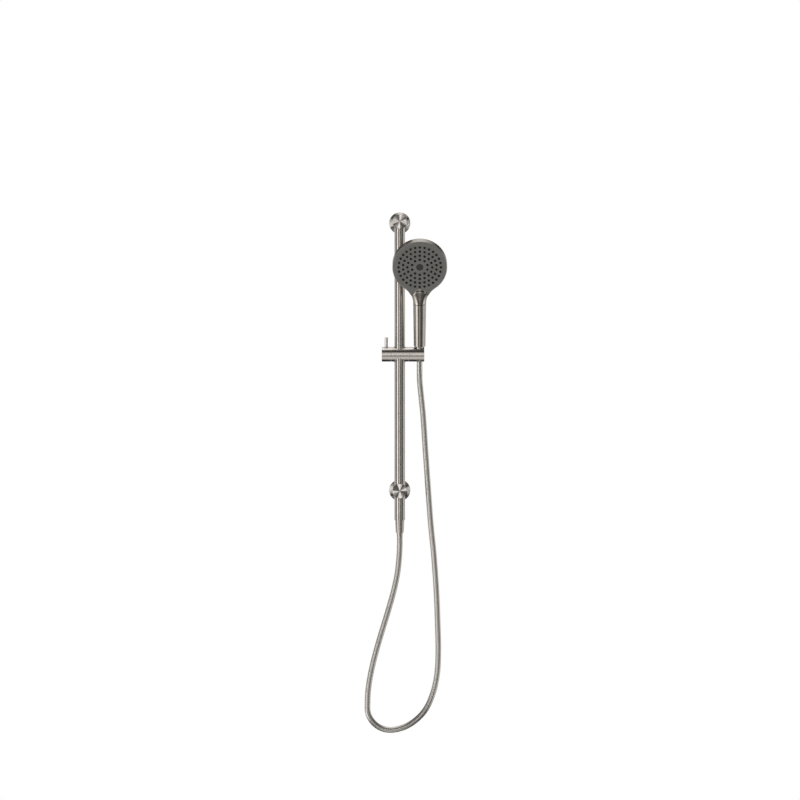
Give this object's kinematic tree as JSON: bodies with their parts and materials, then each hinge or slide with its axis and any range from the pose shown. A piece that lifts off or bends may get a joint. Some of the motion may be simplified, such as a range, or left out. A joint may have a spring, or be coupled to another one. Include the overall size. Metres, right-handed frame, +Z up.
{
  "type": "handheld shower set",
  "caption": "Rail-mounted handheld shower set: round handset in a tilting holder on a clamping slider, riser rail on two wall brackets, and a hose to the water outlet.",
  "frame": {"origin": "centre of the water inlet in the back of the lower bracket, on the wall plane", "axes": "+Z up along the rail, +X to the viewer's right when facing the wall, +Y into the wall"},
  "size_m": [0.1926, 0.1499, 1.2229],
  "materials": {
    "brushed_nickel": "warm satin brushed nickel plating",
    "nickel_coated_plastic": "moulded ABS with a satin nickel coat",
    "plain_steel": "plain stainless steel",
    "brass": "machined brass",
    "white_nylon": "natural white nylon",
    "black_rubber": "black rubber seal",
    "green_plastic": "green moulded plastic",
    "dark_trim": "dark grey plastic",
    "nozzle_silicone": "near-black soft silicone",
    "face_grey": "dark grey fine-textured plastic",
    "hose_silver": "smooth silver hose with a satin nickel look"
  },
  "bodies": {
    "rail_set": {"rail_tube": "brushed_nickel", "rail_plugs": "white_nylon", "rail_screws": "plain_steel", "flange_orings": "black_rubber", "upper_wall_plate": "plain_steel", "upper_flange": "brushed_nickel", "upper_post": "brushed_nickel", "upper_end_cap": "brushed_nickel", "upper_grub_screw": "plain_steel", "lower_flange": "brushed_nickel", "lower_post": "brushed_nickel", "lower_end_cap": "brushed_nickel", "inlet_washer": "black_rubber", "outlet_nipple": "brass", "outlet_oring": "black_rubber", "outlet_sleeve": "brushed_nickel", "check_valve": "white_nylon", "lower_washer": "black_rubber", "lower_hose_tail": "brushed_nickel", "lower_nut": "brushed_nickel", "hose": "hose_silver"},
    "carriage": {"guide_sleeve": "white_nylon"},
    "slider": {"slider_body": "brushed_nickel", "slider_bushes": "brushed_nickel", "pivot_screw": "plain_steel", "wave_washer": "plain_steel"},
    "clamp_lever": {"clamp_knob": "brushed_nickel", "knob_cap": "brushed_nickel", "lever_pin": "brushed_nickel", "clamp_screw": "plain_steel"},
    "clamp_shoe": {"clamp_shoe": "white_nylon"},
    "holder": {"holder_body": "brushed_nickel"},
    "hose_nut": {"upper_nut": "brushed_nickel", "upper_hose_tail": "brushed_nickel", "upper_washer": "black_rubber"},
    "handset": {"handle_connector": "brass", "filter_screen": "plain_steel", "flow_restrictor": "green_plastic", "tube_oring": "black_rubber", "water_tube": "white_nylon", "handle_tube": "nickel_coated_plastic", "seam_ring": "dark_trim", "handset_shell": "nickel_coated_plastic", "water_chamber": "white_nylon", "chamber_seal": "black_rubber", "nozzle_mat": "nozzle_silicone", "face_plate": "face_grey", "face_screw": "plain_steel", "centre_cap": "dark_trim"}
  },
  "joints": [
    {"name": "slider_height", "type": "slide", "parent": "rail_set", "child": "carriage", "axis": [0, 0, 1], "range_m": [-0.27, 0.26], "deforming": ["hose"]},
    {"name": "slider_swivel", "type": "hinge", "parent": "carriage", "child": "slider", "pos_m": [0, -0.05, 0.32], "axis": [0, 0, 1], "range_deg": [-90, 35]},
    {"name": "lever_turn", "type": "hinge", "parent": "slider", "child": "clamp_lever", "pos_m": [-0.0315, -0.05, 0.32], "axis": [1, 0, 0], "range_deg": [-100, 0]},
    {"name": "shoe_press", "type": "slide", "parent": "slider", "child": "clamp_shoe", "axis": [1, 0, 0], "range_m": [-0.0004, 0.00005]},
    {"name": "holder_tilt", "type": "hinge", "parent": "slider", "child": "holder", "pos_m": [0.0465, -0.05, 0.32], "axis": [1, 0, 0], "range_deg": [-3, 45]},
    {"name": "handset_lift", "type": "slide", "parent": "holder", "child": "hose_nut", "axis": [0, -0.2588, 0.9659], "range_m": [0, 0.05]},
    {"name": "handset_turn", "type": "hinge", "parent": "hose_nut", "child": "handset", "pos_m": [0.0465, -0.05, 0.32], "axis": [0, -0.2588, 0.9659], "range_deg": [-10, 90]}
  ],
  "couplings": [
    {"joint": "shoe_press", "follows": "lever_turn", "m_per_rad": 0.000199}
  ]
}
